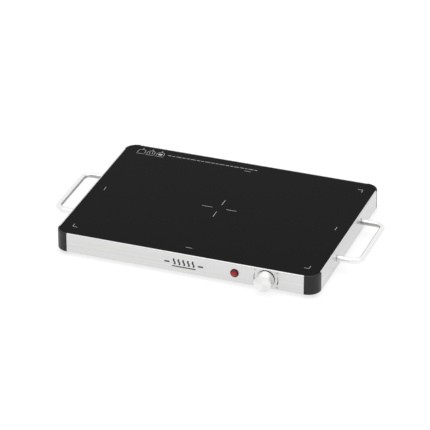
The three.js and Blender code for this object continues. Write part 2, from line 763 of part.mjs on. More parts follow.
// ---------------------------------------------------------------- assembly
add('glass_top', glassTop(), 'glass');
add('glass_seal', glassSeal(), 'silicone');

add('front_rail', frontRail(), 'steel', [0, -BODY_D / 2, 0]);
add('right_rail', sideRail(), 'steel', [BODY_W / 2, 0, 0], 90);
add('rear_rail', rearRail(), 'steel', [0, BODY_D / 2, 0], 180);
add('left_rail', sideRail(), 'steel', [-BODY_W / 2, 0, 0], -90);

add('base_pan', basePan(), 'zinc');

const CORNERS = [
  ['front_left', -CORNER_X, -CORNER_Y, 0],
  ['front_right', CORNER_X, -CORNER_Y, 90],
  ['rear_right', CORNER_X, CORNER_Y, 180],
  ['rear_left', -CORNER_X, CORNER_Y, -90],
];
for (const [corner, x, y, turn] of CORNERS) {
  add(`corner_cap_${corner}`, cornerCap(), 'blackPlastic', [x, y, 0], turn);
  add(`foot_${corner}`, foot(), 'rubber', [x, y, 0]);
  add(`foot_screw_${corner}`, footScrew(), 'zinc', [x, y, 0]);
}

for (const [side, turn] of [['right', 0], ['left', 180]]) {
  const outer = turn ? -BODY_W / 2 : BODY_W / 2;
  add(`handle_${side}`, handle(), 'handleSteel', [0, 0, 0], turn);
  add(`handle_backplate_${side}`, backplate(), 'zinc', [outer, 0, 0], turn);
  add(`handle_screw_${side}_front`, handleScrew(), 'zinc', [outer, -HANDLE.legY, MID_Z], turn);
  add(`handle_screw_${side}_rear`, handleScrew(), 'zinc', [outer, HANDLE.legY, MID_Z], turn);
}

add('heat_spreader', heatSpreader(), 'aluminium');
add('mica_board', stackPlate(TRAY_INNER, MICA_LOW, MICA_LOW + MICA_T), 'mica');
add('heating_ribbon', heatingRibbon(), 'nichrome');
add('insulation_pad', insulationPad(), 'fibre');
add('reflector_tray', reflectorTray(), 'aluminium');
add('tray_support_left', traySupport(), 'zinc', [-SUPPORT.x, 0, 0]);
add('tray_support_right', traySupport(), 'zinc', [SUPPORT.x, 0, 0]);

const KNOB_PLACE = [KNOB.x, -BODY_D / 2, MID_Z];
add('thermostat_body', thermostatBody(), 'ceramic', KNOB_PLACE);
add('thermostat_nut', thermostatNut(), 'brass', KNOB_PLACE);
add('thermostat_shaft', thermostatShaft(), 'brass', KNOB_PLACE);
add('thermostat_sensor', thermostatSensor(), 'brass');
add('knob_hub', knobHub(), 'blackPlastic', KNOB_PLACE);
add('knob_cap', knobCap(), 'aluminium', KNOB_PLACE);

const LAMP_PLACE = [LAMP.x, -BODY_D / 2, MID_Z];
add('lamp_lens', lampLens(), 'redLens', LAMP_PLACE);
add('lamp_clip', lampClip(), 'zinc', LAMP_PLACE);
add('lamp_socket', lampSocket(), 'blackPlastic', LAMP_PLACE);
add('neon_lamp', neonLamp(), 'lampGlass', LAMP_PLACE);

const INLET_PLACE = [INLET.x, BODY_D / 2, MID_Z];
// Turned to face backwards: the panel's x runs the other way and its y runs up.
const facingBack = (piece) => outwards(piece).rotate([0, 0, 180]);
add('inlet_housing', facingBack(inletHousing()), 'blackPlastic', INLET_PLACE);
for (const [name, x, y] of PIN_PLACES) {
  add(name, facingBack(inletPin().translate([x, y, 0])), 'brass', INLET_PLACE);
}
for (const [side, x] of [['left', INLET_SCREW.spacing], ['right', -INLET_SCREW.spacing]]) {
  add(`inlet_screw_${side}`, facingBack(inletScrew().translate([x, 0, 0])), 'zinc', INLET_PLACE);
}

const BLOCK_Z = PAN_TOP_Z + GAP + BLOCK.terminalZ;
const BLOCK_RIGHT_X = BLOCK.x + BLOCK.w / 2;
const BLOCK_LEFT_X = BLOCK.x - BLOCK.w / 2;
const BLOCK_REAR_Y = BLOCK.y + BLOCK.d / 2;
const FUSE_X = BLOCK_RIGHT_X + CABLE.endGap + FUSE.lead;
const FUSE_END_X = FUSE_X + FUSE.lead + CABLE.endGap;
add('terminal_block', terminalBlock(), 'ceramic', [BLOCK.x, BLOCK.y, 0]);
add('thermal_fuse', thermalFuse(), 'zinc', [FUSE_X, BLOCK.y, BLOCK_Z]);

const PIN_END_Y = BODY_D / 2 - INLET.depth - PIN.tail - CABLE.endGap;
const PIN_LOW_Z = MID_Z - PIN.earthLift / 2;
const PIN_HIGH_Z = MID_Z + PIN.earthLift;
const LOW_Z = PAN_TOP_Z + 2 * CABLE.r; // the height at which cables lie along the pan
const RUN = 12; // how far a cable runs straight on before it turns
const RIBBON_DROP_Z = TRAY_LOW - RUN;
const LAMP_SOCKET_Y = -BODY_D / 2 + BARREL.length + GAP + LAMP_SOCKET.depth;
const OUTER_X = SUPPORT.x + 32; // the way round the outside of the tray supports

const TERMINALS = { neutral: BLOCK.x - 9, live: BLOCK.x + 1 };
const TAB = { x: 10, lampX: 14, drop: 6 }; // the thermostat's tabs, about its middle
const TAB_Z = MID_Z - TAB.drop;
const LAMP_TAB_Z = MID_Z + 2;
for (const [name, pinX, blockX] of [
  ['cable_inlet_live', INLET.x + PIN.spacing, TERMINALS.live],
  ['cable_inlet_neutral', INLET.x - PIN.spacing, TERMINALS.neutral],
]) {
  add(name, cable([
    [pinX, PIN_END_Y, PIN_LOW_Z],
    [pinX, PIN_END_Y - RUN, PIN_LOW_Z],
    [blockX, BLOCK_REAR_Y + RUN, BLOCK_Z],
    [blockX, BLOCK_REAR_Y + CABLE.endGap, BLOCK_Z],
  ]), 'cable');
}
add('cable_inlet_earth', cable([
  [INLET.x, PIN_END_Y, PIN_HIGH_Z],
  [INLET.x, PIN_END_Y - 2 * RUN, PIN_HIGH_Z],
  [INLET.x - RUN / 2, PIN_END_Y - 2 * RUN, LOW_Z],
  [INLET.x - 2 * RUN, PIN_END_Y - 2 * RUN, LOW_Z],
]), 'earthCable');
add('cable_fuse_thermostat', cable([
  [FUSE_END_X, BLOCK.y, BLOCK_Z],
  [FUSE_END_X + RUN, BLOCK.y, BLOCK_Z],
  [-20, 60, LOW_Z],
  [60, -90, LOW_Z],
  [140, -150, LOW_Z],
  [KNOB.x - TAB.x, THERMOSTAT_REAR_Y + RUN, TAB_Z],
  [KNOB.x - TAB.x, THERMOSTAT_REAR_Y, TAB_Z],
]), 'cable');
add('cable_heater_live', cable([
  [RIBBON_END_X, RIBBON_END_Y, RIBBON_LOW - CABLE.endGap],
  [RIBBON_END_X, RIBBON_END_Y, RIBBON_DROP_Z],
  [OUTER_X, RIBBON_END_Y - 3 * RUN, LOW_Z],
  [OUTER_X, -100, LOW_Z],
  [KNOB.x + 30, -145, LOW_Z],
  [KNOB.x + TAB.x, THERMOSTAT_REAR_Y + RUN, TAB_Z],
  [KNOB.x + TAB.x, THERMOSTAT_REAR_Y, TAB_Z],
]), 'cable');
add('cable_heater_neutral', cable([
  [-RIBBON_END_X, -RIBBON_END_Y, RIBBON_LOW - CABLE.endGap],
  [-RIBBON_END_X, -RIBBON_END_Y, RIBBON_DROP_Z],
  [-OUTER_X, -RIBBON_END_Y + 3 * RUN, LOW_Z],
  [-OUTER_X, BLOCK.y - 2, LOW_Z],
  [BLOCK_LEFT_X - 3 * RUN, BLOCK.y, LOW_Z],
  [BLOCK_LEFT_X - RUN, BLOCK.y, BLOCK_Z],
  [BLOCK_LEFT_X - CABLE.endGap, BLOCK.y, BLOCK_Z],
]), 'cable');
add('cable_thermostat_lamp', cable([
  [KNOB.x - TAB.lampX, THERMOSTAT_REAR_Y, LAMP_TAB_Z],
  [KNOB.x - TAB.lampX, THERMOSTAT_REAR_Y + RUN, LAMP_TAB_Z],
  [LAMP.x + 15, THERMOSTAT_REAR_Y + RUN, MID_Z - 5],
  [LAMP.x, LAMP_SOCKET_Y + RUN, MID_Z],
  [LAMP.x, LAMP_SOCKET_Y + CABLE.endGap, MID_Z],
]), 'cable');

export default group;
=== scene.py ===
"""The looks of an electric warming tray: black glass top, brushed steel panels, black corner caps,
bar handles, a pilot lamp and a thermostat knob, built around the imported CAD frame. Metres, +Z up."""
import json
import math

import bmesh
import bpy
from mathutils import Matrix, Vector


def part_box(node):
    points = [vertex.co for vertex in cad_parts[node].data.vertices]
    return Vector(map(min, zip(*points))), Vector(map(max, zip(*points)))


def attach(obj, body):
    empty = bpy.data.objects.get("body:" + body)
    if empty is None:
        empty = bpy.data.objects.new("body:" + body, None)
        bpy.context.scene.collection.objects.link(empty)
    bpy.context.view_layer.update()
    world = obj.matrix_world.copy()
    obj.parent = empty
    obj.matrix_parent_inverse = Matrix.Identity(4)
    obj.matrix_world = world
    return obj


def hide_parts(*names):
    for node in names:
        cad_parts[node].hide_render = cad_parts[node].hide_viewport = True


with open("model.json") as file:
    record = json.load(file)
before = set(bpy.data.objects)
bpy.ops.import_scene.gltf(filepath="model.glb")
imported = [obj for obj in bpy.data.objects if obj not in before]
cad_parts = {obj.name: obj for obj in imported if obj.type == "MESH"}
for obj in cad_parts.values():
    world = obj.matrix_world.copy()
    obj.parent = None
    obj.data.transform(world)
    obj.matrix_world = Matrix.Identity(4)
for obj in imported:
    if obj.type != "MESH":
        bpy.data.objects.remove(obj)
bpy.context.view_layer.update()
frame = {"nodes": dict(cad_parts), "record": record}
scene = bpy.context.scene
MM = 0.001

# ------------------------------------------------------------ sizes taken from the frame
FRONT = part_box("front_rail")
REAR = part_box("rear_rail")
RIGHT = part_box("right_rail")
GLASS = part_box("glass_top")
KNOB_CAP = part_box("knob_cap")
KNOB_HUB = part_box("knob_hub")
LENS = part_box("lamp_lens")
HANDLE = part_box("handle_right")
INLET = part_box("inlet_housing")
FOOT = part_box("foot_front_right")

FRONT_Y = FRONT[0].y
REAR_Y = REAR[1].y
CENTRE_Y = (FRONT_Y + REAR_Y) / 2
HALF_W = RIGHT[1].x
HALF_D = REAR_Y - CENTRE_Y
BOTTOM_Z = FRONT[0].z
TOP_Z = FRONT[1].z
MID_Z = (BOTTOM_Z + TOP_Z) / 2
GAP = 0.3 * MM  # between pieces that touch
CORNER_X = FRONT[1].x + GAP  # centres of the corner caps
CORNER_Y = RIGHT[1].y - CENTRE_Y + GAP
CORNER_R = HALF_W - CORNER_X
KNOB_X = (KNOB_CAP[0].x + KNOB_CAP[1].x) / 2
LAMP_X = (LENS[0].x + LENS[1].x) / 2
INLET_X = (INLET[0].x + INLET[1].x) / 2
HANDLE_R = (HANDLE[1].z - HANDLE[0].z) / 2
HANDLE_LEG_Y = (HANDLE[1].y - HANDLE[0].y) / 2 - HANDLE_R  # from the middle to a leg's centre line
CORNERS = {"front_left": (-1, -1), "front_right": (1, -1), "rear_right": (1, 1), "rear_left": (-1, 1)}

# ------------------------------------------------------------ sizes of the sheet and mouldings
SHEET = 1 * MM
RIM = 3.2 * MM
RIM_ROUND = 2 * MM
RIM_LIP = 0.4 * MM
LEDGE_DROP = 6.2 * MM + GAP * 2 / 3  # from the rim down to the ledge under the glass
LEDGE_REACH = 12 * MM
FLANGE_REACH = 14 * MM
CAP_WALL = 2.6 * MM
CAP_LEDGE_T = 2 * MM
ARRIS = 0.6 * MM  # rounding of the glass plate's edges
HANDLE_BORE_R = 2.8 * MM  # also of the panel's hole for the screw
FOOT_BORE_R = 2.2 * MM
LENS_BARREL_R = 6.5 * MM
BUSH_HOLE_R = 5.1 * MM
INLET_BLOCK = (27 * MM, 20 * MM)  # width and height behind the panel
INLET_MOUTH = GAP + 3 * MM  # from the panel's face to the rim of the mouth
INLET_SCREW_X = 20 * MM  # from the inlet's middle
INLET_SCREW_HOLE_R = 1.8 * MM
INK_T = 0.05 * MM
INK_SINK = 0.02 * MM  # how deep the print is set in, so that it doesn't float


# ------------------------------------------------------------ materials
class Finish:
    """A Principled material fed by procedural nodes in the piece's own space, in metres."""

    def __init__(self, name, color, **values):
        self.material = bpy.data.materials.new(name)
        self.material.use_nodes = True
        self.tree = self.material.node_tree
        self.shader = self.tree.nodes["Principled BSDF"]
        self.color = color
        coordinates = self.node("ShaderNodeTexCoord").outputs
        self.place, self.facing = coordinates["Object"], coordinates["Normal"]
        self.shader.inputs["Base Color"].default_value = (*color, 1)
        for socket, value in values.items():
            self.shader.inputs[socket.replace("_", " ")].default_value = value

    def node(self, kind, **settings):
        made = self.tree.nodes.new(kind)
        for key, value in settings.items():
            setattr(made, key, value)
        return made

    def put(self, value, socket):
        """Link another node's output to a socket, or set its plain value."""
        if isinstance(value, bpy.types.NodeSocket):
            self.tree.links.new(value, socket)
        else:
            socket.default_value = value

    def feed(self, made, **inputs):
        for key, value in inputs.items():
            self.put(value, made.inputs[key.replace("_", " ")])
        return made

    def split(self, vector):
        """The X, Y and Z of a vector, by those names."""
        return self.feed(self.node("ShaderNodeSeparateXYZ"), Vector=vector).outputs

    def stretched(self, stretch):
        return self.feed(self.node("ShaderNodeMapping"), Vector=self.place, Scale=stretch).outputs[0]

    def noise(self, scale, stretch=(1, 1, 1), detail=3.0, roughness=0.5):
        made = self.node("ShaderNodeTexNoise")
        place = self.stretched(stretch)
        return self.feed(made, Vector=place, Scale=scale, Detail=detail, Roughness=roughness).outputs["Fac"]

    def cells(self, scale, stretch=(1, 1, 1), output="Distance"):
        made = self.node("ShaderNodeTexVoronoi")
        return self.feed(made, Vector=self.stretched(stretch), Scale=scale).outputs[output]

    def rings(self, scale, distortion=0.0):
        """Rings about the piece's Z axis, like a turned face."""
        made = self.node("ShaderNodeTexWave", wave_type="RINGS", rings_direction="Z")
        return self.feed(made, Vector=self.place, Scale=scale, Distortion=distortion).outputs["Fac"]

    def math(self, operation, a, b=0.0):
        made = self.node("ShaderNodeMath", operation=operation)
        self.put(a, made.inputs[0])
        self.put(b, made.inputs[1])
        return made.outputs[0]

    def between(self, fac, low, high, start=0.3, end=0.7):
        """A value that runs from low to high while fac runs from start to end."""
        made = self.node("ShaderNodeMapRange")
        return self.feed(made, Value=fac, From_Min=start, From_Max=end, To_Min=low, To_Max=high).outputs[0]

    def tint(self, fac, dark, light, start=0.3, end=0.7):
        """Base colour from dark to light, each a multiple of the finish's own colour or a colour."""
        ramp = self.feed(self.node("ShaderNodeValToRGB"), Fac=fac)
        for element, at, value in zip(ramp.color_ramp.elements, (start, end), (dark, light)):
            element.position = at
            shade = value if isinstance(value, tuple) else tuple(c * value for c in self.color)
            element.color = (*shade, 1)
        self.tree.links.new(ramp.outputs[0], self.shader.inputs["Base Color"])

    def rough(self, fac, low, high):
        self.tree.links.new(self.between(fac, low, high), self.shader.inputs["Roughness"])

    def bump(self, height, depth, strength=1.0):
        made = self.feed(self.node("ShaderNodeBump"), Height=height, Distance=depth, Strength=strength)
        self.tree.links.new(made.outputs[0], self.shader.inputs["Normal"])

    def brushed_along(self, axis):
        made = self.node("ShaderNodeCombineXYZ")
        made.inputs[axis].default_value = 1.0
        self.tree.links.new(made.outputs[0], self.shader.inputs["Tangent"])


def grain_of(axis, along, across):
    """Noise stretch for a grain that runs along one axis."""
    return tuple(along if i == axis else across for i in range(3))


def black_glass():
    """Opaque black glass. Real glass has an IOR near 1.5; it is lower here, so that the top reflects
    less of the white studio and stays as black as in the photo."""
    made = Finish("black_glass", (0.0018, 0.0018, 0.0017), IOR=1.1, Roughness=0.045)
    made.tint(made.noise(9, detail=2), 0.93, 1.07)
    smear = made.noise(14, (1, 2.4, 1), detail=5)
    made.rough(smear, 0.035, 0.06)
    made.bump(made.noise(3), 0.02 * MM)
    return made


STEEL = (0.67, 0.67, 0.666)


def brushed_steel(name, axis):
    """Panel steel with fine and broad streaks along one axis."""
    made = Finish(name, STEEL, Metallic=1.0, Anisotropic=0.55)
    fine = made.noise(1, grain_of(axis, 18, 2600), detail=4)
    broad = made.noise(1, grain_of(axis, 3, 260))
    mixed = made.math("ADD", made.math("MULTIPLY", fine, 0.55), made.math("MULTIPLY", broad, 0.45))
    made.tint(mixed, 0.92, 1.06)
    made.rough(fine, 0.3, 0.38)
    made.bump(fine, 0.004 * MM, 0.6)
    made.brushed_along(axis)
    return made


def handle_steel():
    """Polished bar with painted shade: darker underneath and on the flank that faces the inside of the
    loop.
    """
    made = Finish("handle_steel", (0.84, 0.84, 0.835), Metallic=1.0)
    facing, place = made.split(made.facing), made.split(made.place)
    # painted shade: the base colour darkens where the bar faces down, towards the body or towards its other
    # leg
    to_body = made.math("MULTIPLY", facing["X"], -1.0)
    sideways = made.math("MULTIPLY", facing["Y"], made.math("SIGN", place["Y"]))
    to_middle = made.math("MULTIPLY", sideways, -1.0)
    to_floor = made.math("MULTIPLY", facing["Z"], -0.9)
    painted_shade = made.math("MAXIMUM", made.math("MAXIMUM", to_body, to_middle), to_floor)
    uneven = made.math("ADD", painted_shade, made.between(made.noise(120), -0.05, 0.05))
    made.tint(uneven, 1.0, 0.45, 0.55, 1.0)
    made.rough(made.noise(40, (1, 1, 6), detail=4), 0.17, 0.25)
    made.bump(made.noise(1, (300, 300, 2600)), 0.003 * MM, 0.5)
    return made


def moulded(name, color, rough, texture=0.01 * MM, pitch=1600):
    """Injection-moulded plastic or rubber: an even fine texture with slow shifts in tone."""
    made = Finish(name, color, Specular_IOR_Level=0.36)
    made.tint(made.noise(35, detail=4), 0.86, 1.14)
    made.rough(made.noise(120, detail=3), *rough)
    made.bump(made.noise(pitch, detail=2), texture, 0.7)
    return made


def zinc_plate():
    made = Finish("zinc_plate", (0.47, 0.49, 0.52), Metallic=1.0)
    spangle = made.cells(90, (1, 1, 2), "Color")
    made.tint(spangle, 0.86, 1.1, 0.1, 0.9)
    made.rough(made.noise(200), 0.3, 0.46)
    made.bump(made.noise(900, detail=4), 0.01 * MM, 0.5)
    return made


def mill_aluminium():
    made = Finish("aluminium", (0.72, 0.72, 0.73), Metallic=1.0)
    made.tint(made.noise(1, (15, 900, 900), detail=4), 0.93, 1.05)
    made.rough(made.noise(1, (30, 1400, 1400)), 0.26, 0.4)
    made.bump(made.noise(1, (40, 2200, 2200)), 0.005 * MM, 0.5)
    return made


def knob_metal():
    """Turned metal with painted light: the side painted brighter than the face, and fine rings with faint
    light and dark sectors of painted reflection on the face.
    """
    made = Finish("knob_metal", (0.84, 0.84, 0.835), Metallic=1.0, Anisotropic=0.6)
    place, facing = made.split(made.place), made.split(made.facing)
    turn = made.math("ARCTAN2", place["Y"], place["X"])
    # painted reflection: two light and two dark sectors round the face, with random grain added
    painted_reflection_fans = made.math("MULTIPLY", made.math("SINE", made.math("MULTIPLY", turn, 2.0)), 0.09)
    painted_reflection_and_grain = made.math("ADD", painted_reflection_fans, made.between(made.noise(220, detail=3), -0.03, 0.03))
    # painted light: the base colour is brighter on the side than on the face
    painted_side_light = made.between(facing["Z"], 0.6, 0.2, 0.3, 0.9)
    made.tint(made.math("ADD", painted_reflection_and_grain, painted_side_light), 0.80, 1.12, 0.0, 0.6)
    made.rough(made.noise(500, detail=3), 0.2, 0.28)
    made.bump(made.rings(900, 0.4), 0.006 * MM, 0.7)
    tangent = made.node("ShaderNodeTangent", direction_type="RADIAL", axis="Z")
    made.tree.links.new(tangent.outputs[0], made.shader.inputs["Tangent"])
    return made


def mica():
    made = Finish("mica", (0.46, 0.34, 0.18), Roughness=0.45)
    made.tint(made.cells(160, (1, 1, 4), "Color"), 0.7, 1.2, 0.1, 0.9)
    made.rough(made.noise(60, detail=4), 0.3, 0.55)
    made.bump(made.cells(160), 0.03 * MM, 0.6)
    return made


def heater_alloy():
    made = Finish("heater_alloy", (0.27, 0.24, 0.21), Metallic=0.9)
    made.tint(made.noise(60, detail=5), (0.16, 0.13, 0.11), (0.36, 0.32, 0.28))
    made.rough(made.noise(300), 0.35, 0.55)
    made.bump(made.noise(1, (30, 2000, 2000)), 0.005 * MM, 0.5)
    return made


def mineral_fibre():
    made = Finish("mineral_fibre", (0.80, 0.76, 0.66), Roughness=0.95)
    strands = made.noise(1, (240, 900, 500), detail=8, roughness=0.7)
    made.tint(strands, 0.8, 1.1)
    made.bump(strands, 0.25 * MM, 0.9)
    return made


def ceramic():
    made = Finish("ceramic", (0.76, 0.72, 0.62))
    made.tint(made.noise(300, detail=5), 0.9, 1.06)
    made.rough(made.noise(90), 0.5, 0.7)
    made.bump(made.noise(1400, detail=3), 0.02 * MM, 0.7)
    return made


def brass():
    made = Finish("brass", (0.62, 0.44, 0.16), Metallic=1.0)
    made.tint(made.noise(90, detail=5), (0.50, 0.33, 0.11), (0.68, 0.50, 0.20))
    made.rough(made.noise(400), 0.24, 0.4)
    made.bump(made.noise(1, (900, 900, 2600)), 0.004 * MM, 0.6)
    return made


def red_lens():
    """Clear red plastic, dark at the rim and lit from behind at its middle."""
    made = Finish("red_lens", (0.30, 0.006, 0.006), IOR=1.49, Specular_IOR_Level=0.3)
    made.shader.inputs["Subsurface Weight"].default_value = 0.15
    made.shader.inputs["Subsurface Scale"].default_value = 2 * MM
    rim_r, unevenness = 9 * MM, 0.6 * MM
    place = made.split(made.place)
    squares = made.math("ADD", made.math("POWER", place["X"], 2.0), made.math("POWER", place["Y"], 2.0))
    ripple = made.math("MULTIPLY", made.noise(500, detail=2), unevenness)
    outward = made.math("DIVIDE", made.math("ADD", made.math("SQRT", squares), ripple), rim_r)
    made.tint(outward, (0.40, 0.008, 0.008), (0.05, 0.001, 0.001), 0.3, 0.85)
    glow = made.between(outward, 0.06, 0.0, 0.1, 0.8)
    made.shader.inputs["Emission Color"].default_value = (0.9, 0.01, 0.01, 1)
    made.tree.links.new(glow, made.shader.inputs["Emission Strength"])
    made.rough(made.noise(300), 0.08, 0.16)
    return made


def lamp_glass():
    made = Finish("lamp_glass", (0.95, 0.62, 0.42), Roughness=0.05, IOR=1.5)
    made.shader.inputs["Transmission Weight"].default_value = 0.6
    made.tint(made.noise(400), 0.9, 1.05)
    made.rough(made.noise(200), 0.03, 0.1)
    return made


def braided(name, color, stripe=None):
    """A woven sleeve, with a second colour in stripes where there is one."""
    made = Finish(name, color, Roughness=0.7)
    weave = made.cells(900)
    if stripe:
        made.tint(made.noise(110, detail=0), color, stripe, 0.49, 0.51)
    else:
        made.tint(weave, 0.75, 1.1, 0.1, 0.6)
    made.bump(weave, 0.12 * MM, 0.9)
    made.rough(made.noise(300), 0.6, 0.8)
    return made


def ink(name, color):
    made = Finish(name, color)
    made.tint(made.noise(700, detail=3), 0.9, 1.08)
    made.rough(made.noise(300), 0.35, 0.5)
    made.bump(made.noise(2500), 0.004 * MM, 0.5)
    return made


FINISHES = {
    "black_glass": black_glass(),
    "brushed_steel": brushed_steel("brushed_steel", 0),
    "handle_steel": handle_steel(),
    "black_plastic": moulded("black_plastic", (0.006, 0.006, 0.0064), (0.32, 0.42)),
    "rubber": moulded("rubber", (0.018, 0.018, 0.018), (0.7, 0.85), 0.03 * MM, 900),
    "silicone": moulded("silicone", (0.022, 0.022, 0.023), (0.5, 0.65), 0.01 * MM, 500),
    "zinc_plate": zinc_plate(),
    "aluminium": mill_aluminium(),
    "knob_metal": knob_metal(),
    "mica": mica(),
    "heater_alloy": heater_alloy(),
    "mineral_fibre": mineral_fibre(),
    "ceramic": ceramic(),
    "brass": brass(),
    "red_lens": red_lens(),
    "lamp_glass": lamp_glass(),
    "cable_sleeve": braided("cable_sleeve", (0.50, 0.47, 0.41)),
    "earth_sleeve": braided("earth_sleeve", (0.05, 0.20, 0.03), (0.55, 0.45, 0.03)),
}
SIDE_STEEL = brushed_steel("brushed_steel_side", 1)
GLASS_INK = ink("glass_ink", (0.34, 0.34, 0.34))
PANEL_INK = ink("panel_ink", (0.022, 0.022, 0.024))


def finish_cad_nodes():
    """Every CAD node gets the finish of its slot; the ones replaced below aren't shown."""
    for part in frame["record"]["subparts"]:
        slots = frame["nodes"][part["node"]].data.materials
        slots.clear()
        slots.append(FINISHES[part["material_slot"]].material)


# ------------------------------------------------------------ mesh building
SMOOTH_ANGLE = 30  # degrees; sharper edges stay sharp


def loft(rings, loop=False):
    """Faces between neighbouring rings of points. The two ends are closed, unless the rings loop."""
    bm = bmesh.new()
    made = [[bm.verts.new(point) for point in ring] for ring in rings]
    followers = made[1:] + made[:1] if loop else made[1:]
    for near, far in zip(made, followers):
        for i in range(len(near)):
            bm.faces.new((near[i - 1], near[i], far[i], far[i - 1]))
    if not loop:
        bm.faces.new(made[0])
        bm.faces.new(made[-1])
    bmesh.ops.recalc_face_normals(bm, faces=bm.faces[:])
    return bm


def circle(r, z, sides=96):
    turn = 2 * math.pi / sides
    return [Vector((r * math.cos(i * turn), r * math.sin(i * turn), z)) for i in range(sides)]


def lathe(profile, sides=96, loop=False):
    """Turned about Z from (radius, height) points; closed at its ends, or a ring if they loop."""
    return loft([circle(r, z, sides) for r, z in profile], loop)


def arc(cx, cy, r, start, end, steps):
    """Points round a centre, with angles in degrees."""
    angles = [math.radians(start + (end - start) * i / steps) for i in range(steps + 1)]
    return [(cx + r * math.cos(a), cy + r * math.sin(a)) for a in angles]


def rounded_rect(w, h, r, steps=10):
    x, y = w / 2 - r, h / 2 - r
    return [
        *arc(x, -y, r, -90, 0, steps), *arc(x, y, r, 0, 90, steps),
        *arc(-x, y, r, 90, 180, steps), *arc(-x, -y, r, 180, 270, steps),
    ]


def shrunk(outline, inset):
    """A closed outline moved inwards by a distance."""
    points = [Vector(p) for p in outline]
    area = sum(points[i - 1].cross(points[i]) for i in range(len(points)))
    side = 1 if area > 0 else -1
    inner = []
    for i, here in enumerate(points):
        before = (here - points[i - 1]).normalized()
        after = (points[(i + 1) % len(points)] - here).normalized()
        a = Vector((-before.y, before.x)) * side
        b = Vector((-after.y, after.x)) * side
        inner.append(here + (a + b) * inset / (1 + a.dot(b)))
    return inner


def slab(outline, low, high, edge=0.0, steps=3):
    """A flat plate, with its edges rounded top and bottom where an edge radius is given."""
    if not edge:
        return loft([[(*p, z) for p in outline] for z in (low, high)])
    levels = []
    for i in range(steps + 1):
        angle = math.pi / 2 * i / steps
        levels.append((edge * (1 - math.sin(angle)), edge * (1 - math.cos(angle))))
    rings = [[(*p, low + rise) for p in shrunk(outline, inset)] for inset, rise in levels]
    rings += [[(*p, high - rise) for p in shrunk(outline, inset)] for inset, rise in reversed(levels)]
    return loft(rings)


def bar(low, high):
    """A block between two corners, as a tool for cutting and joining."""
    (x0, y0, z0), (x1, y1, z1) = low, high
    outline = [(x0, y0), (x1, y0), (x1, y1), (x0, y1)]
    return slab(outline, z0, z1)


def moved(bm, matrix):
    bm.transform(matrix)
    return bm


def shifted(bm, x, y, z):
    return moved(bm, Matrix.Translation((x, y, z)))


def spun(bm, degrees):
    return moved(bm, Matrix.Rotation(math.radians(degrees), 4, "Z"))


def loose_object(bm):
    mesh = bpy.data.meshes.new("tool")
    bm.to_mesh(mesh)
    bm.free()
    obj = bpy.data.objects.new("tool", mesh)
    scene.collection.objects.link(obj)
    return obj


def boolean(operation, base, *tools):
    """base joined with (UNION) or cut by (DIFFERENCE) each tool; all are closed meshes."""
    target = loose_object(base)
    others = [loose_object(tool) for tool in tools]
    for other in others:
        modifier = target.modifiers.new("boolean", "BOOLEAN")
        modifier.operation = operation
        modifier.solver = "EXACT"
        modifier.object = other
    result = bmesh.new()
    result.from_object(target, bpy.context.evaluated_depsgraph_get())
    for obj in (target, *others):
        bpy.data.objects.remove(obj)
    return result


def piece(name, bm, finish, body, *replaced, slot=None, place=None):
    """A named piece of the object, smooth except at its sharp edges, that moves with a body."""
    bmesh.ops.recalc_face_normals(bm, faces=bm.faces[:])
    mesh = bpy.data.meshes.new(name)
    bm.to_mesh(mesh)
    bm.free()
    mesh.shade_smooth()
    mesh.set_sharp_from_angle(angle=math.radians(SMOOTH_ANGLE))
    mesh.materials.append(finish.material)
    obj = bpy.data.objects.new(name, mesh)
    scene.collection.objects.link(obj)
    weighted = obj.modifiers.new("weighted normals", "WEIGHTED_NORMAL")  # flat faces stay flat
    weighted.weight = 100
    weighted.keep_sharp = True
    if place is not None:
        obj.matrix_world = place
    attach(obj, body)
    if replaced:
        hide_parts(*replaced)


def at(x, y, z, turn=0.0):
    return Matrix.Translation((x, y, z)) @ Matrix.Rotation(math.radians(turn), 4, "Z")


# A height becomes the distance out of the front or the rear panel; X stays in the panel, Y runs up it.
OUT_OF_FRONT = Matrix.Rotation(math.radians(90), 4, "X")
OUT_OF_REAR = Matrix.Rotation(math.radians(180), 4, "Z") @ OUT_OF_FRONT


# ------------------------------------------------------------ glass, rails and corner caps
def glass_top():
    (x0, y0, z0), (x1, y1, z1) = GLASS
    corner = CORNER_R - RIM - GAP
    plate = slab(rounded_rect(x1 - x0, y1 - y0, corner, 24), z0, z1, ARRIS, 4)
    centre = at((x0 + x1) / 2, (y0 + y1) / 2, 0)
    piece("glass_plate", plate, FINISHES["black_glass"], "tray", "glass_top", slot="black_glass",
          place=centre)


def wall_section(wall, ledge_t, flange_reach):
    """Section of a rail or a cap: (distance in from the outer face, height)."""
    ledge = TOP_Z - LEDGE_DROP
    return [
        *arc(SHEET, BOTTOM_Z + SHEET, SHEET, 270, 180, 6),
        *arc(RIM_ROUND, TOP_Z - RIM_ROUND, RIM_ROUND, 180, 90, 12),
        *arc(RIM - RIM_LIP, TOP_Z - RIM_LIP, RIM_LIP, 90, 0, 4),
        (RIM, ledge), (LEDGE_REACH, ledge), (LEDGE_REACH, ledge - ledge_t),
        (wall, ledge - ledge_t), (wall, BOTTOM_Z + SHEET),
        (flange_reach, BOTTOM_Z + SHEET), (flange_reach, BOTTOM_Z),
    ]


def rail(length, *holes):
    """A folded steel rail along X with its outer face at y = 0, and holes through that face."""
    eased = 0.12 * MM
    section = wall_section(SHEET, SHEET, FLANGE_REACH)
    inner = shrunk(section, eased)
    half = length / 2
    stations = [(-half, inner), (eased - half, section), (half - eased, section), (half, inner)]
    made = loft([[(x, inset, z) for inset, z in outline] for x, outline in stations])
    return boolean("DIFFERENCE", made, *holes)


def panel_hole(x, r):
    hole = lathe([(r, -3 * SHEET), (r, 3 * SHEET)], 64)
    return shifted(moved(hole, OUT_OF_FRONT), x, 0, MID_Z)


def handle_holes():
    return [panel_hole(side * HANDLE_LEG_Y, HANDLE_BORE_R) for side in (-1, 1)]


